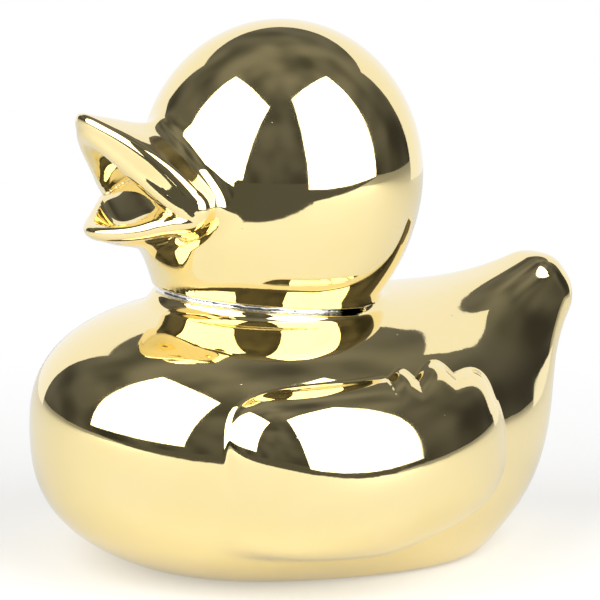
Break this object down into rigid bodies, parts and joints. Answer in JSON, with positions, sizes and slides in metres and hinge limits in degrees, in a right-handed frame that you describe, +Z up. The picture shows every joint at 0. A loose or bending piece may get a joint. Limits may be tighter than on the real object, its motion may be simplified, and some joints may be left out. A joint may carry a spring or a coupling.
{
  "type": "rubber duck",
  "caption": "Smooth toy duck with an open bill, folded wings and an upturned tail, moulded as one hollow shell with a gold mirror skin and standing on a flat base.",
  "frame": {"origin": "on the flat base under the middle of the body, on the plane of symmetry", "axes": "+Z up, -Y the way the duck looks, +X its left side"},
  "size_m": [0.0844, 0.1027, 0.0943],
  "materials": {
    "gold_plating": "gold-tinted mirror plating with slight orange peel"
  },
  "bodies": {
    "root": {"duck_shell": "gold_plating"}
  },
  "joints": []
}
